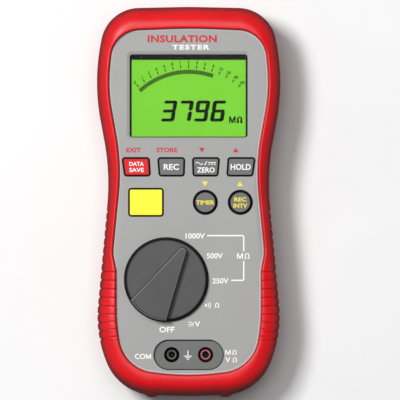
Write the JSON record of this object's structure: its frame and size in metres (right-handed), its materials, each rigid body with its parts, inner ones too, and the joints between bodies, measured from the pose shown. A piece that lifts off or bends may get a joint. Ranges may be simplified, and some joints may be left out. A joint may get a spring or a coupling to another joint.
{
  "type": "insulation resistance tester",
  "caption": "Hand-held insulation resistance tester in a rubber holster, with a display, press keys, a turning range knob, two shrouded sockets, a tilt stand and a battery door.",
  "frame": {"origin": "middle of the footprint, on the surface that the back lies on", "axes": "+X right and +Y towards the display as the face is read, +Z out of the face"},
  "size_m": [0.1034, 0.2201, 0.0546],
  "materials": {
    "holster_rubber": "satin",
    "face_plastic": "fine texture",
    "back_plastic": "fine texture",
    "seal_rubber": "matt",
    "screw_steel": "satin",
    "pin_steel": "satin",
    "lens_clear": "clear",
    "lcd_glass": "satin",
    "light_guide": "clear",
    "frame_plastic": "matt",
    "zebra_rubber": "matt",
    "key_red": "satin",
    "key_grey": "satin",
    "key_yellow": "satin",
    "membrane_rubber": "matt",
    "knob_plastic": "fine texture",
    "switch_plastic": "satin",
    "contact_brass": "bright",
    "terminal_plastic": "satin",
    "socket_black": "satin",
    "socket_red": "satin",
    "board_green": "solder mask",
    "ferrite": "matt",
    "coil_tape": "tape",
    "capacitor_plastic": "satin",
    "resistor_blue": "lacquer",
    "relay_plastic": "satin",
    "chip_black": "matt",
    "fuse_ceramic": "matt",
    "spring_steel": "bright",
    "cell_wrap": "wrap",
    "lead_red": "matt"
  },
  "bodies": {
    "case": {"holster": "holster_rubber", "front_case": "face_plastic", "rear_case": "back_plastic", "case_gasket": "seal_rubber", "case_screws": "screw_steel", "board_screws": "screw_steel", "stand_hinge_pin": "pin_steel", "display_lens": "lens_clear", "lcd_panel": "lcd_glass", "lcd_light_guide": "light_guide", "lcd_frame": "frame_plastic", "zebra_strips": "zebra_rubber", "keypad_membrane": "membrane_rubber", "detent_ring": "switch_plastic", "knob_seal": "seal_rubber", "terminal_plate": "terminal_plastic", "com_socket": "socket_black", "test_socket": "socket_red", "com_contact": "contact_brass", "test_contact": "contact_brass", "circuit_board": "board_green", "transformer_core": "ferrite", "transformer_coil": "coil_tape", "hv_capacitors": "capacitor_plastic", "input_resistors": "resistor_blue", "relay": "relay_plastic", "processor_chip": "chip_black", "measuring_chips": "chip_black", "fuse": "fuse_ceramic", "fuse_clips": "contact_brass", "buzzer": "relay_plastic", "battery_contacts": "spring_steel", "battery_springs": "spring_steel", "battery_leads": "lead_red", "battery_cell_1": "cell_wrap", "battery_cell_2": "cell_wrap", "battery_cell_3": "cell_wrap", "battery_cell_4": "cell_wrap"},
    "selector": {"range_knob": "knob_plastic", "selector_hub": "switch_plastic", "hub_clip": "spring_steel", "contact_carrier": "switch_plastic", "detent_balls": "spring_steel", "detent_springs": "spring_steel", "switch_wipers": "contact_brass"},
    "stand": {"tilt_stand": "back_plastic"},
    "battery_door": {"battery_door": "back_plastic", "battery_door_screws": "screw_steel"},
    "key_capture_body": {"key_capture": "key_red"},
    "key_record_body": {"key_record": "key_grey"},
    "key_zero_body": {"key_zero": "key_grey"},
    "key_hold_body": {"key_hold": "key_grey"},
    "key_select_body": {"key_select": "key_yellow"},
    "key_timer_body": {"key_timer": "key_grey"},
    "key_interval_body": {"key_interval": "key_grey"}
  },
  "joints": [
    {"name": "knob_turn", "type": "hinge", "parent": "case", "child": "selector", "pos_m": [-0.0126, -0.0437, 0.044], "axis": [0, 0, 1], "range_deg": [-150, 0]},
    {"name": "press_capture", "type": "slide", "parent": "case", "child": "key_capture_body", "axis": [0, 0, -1], "range_m": [0, 0.0009], "stiffness_N_per_m": 1500},
    {"name": "press_record", "type": "slide", "parent": "case", "child": "key_record_body", "axis": [0, 0, -1], "range_m": [0, 0.0009], "stiffness_N_per_m": 1500},
    {"name": "press_zero", "type": "slide", "parent": "case", "child": "key_zero_body", "axis": [0, 0, -1], "range_m": [0, 0.0009], "stiffness_N_per_m": 1500},
    {"name": "press_hold", "type": "slide", "parent": "case", "child": "key_hold_body", "axis": [0, 0, -1], "range_m": [0, 0.0009], "stiffness_N_per_m": 1500},
    {"name": "press_select", "type": "slide", "parent": "case", "child": "key_select_body", "axis": [0, 0, -1], "range_m": [0, 0.0009], "stiffness_N_per_m": 1500},
    {"name": "press_timer", "type": "slide", "parent": "case", "child": "key_timer_body", "axis": [0, 0, -1], "range_m": [0, 0.0009], "stiffness_N_per_m": 1500},
    {"name": "press_interval", "type": "slide", "parent": "case", "child": "key_interval_body", "axis": [0, 0, -1], "range_m": [0, 0.0009], "stiffness_N_per_m": 1500},
    {"name": "stand_swing", "type": "hinge", "parent": "case", "child": "stand", "pos_m": [0, 0.01, 0.0042], "axis": [1, 0, 0], "range_deg": [0, 70]},
    {"name": "battery_door_lift", "type": "slide", "parent": "case", "child": "battery_door", "axis": [0, 0, -1], "range_m": [0, 0.02]}
  ]
}
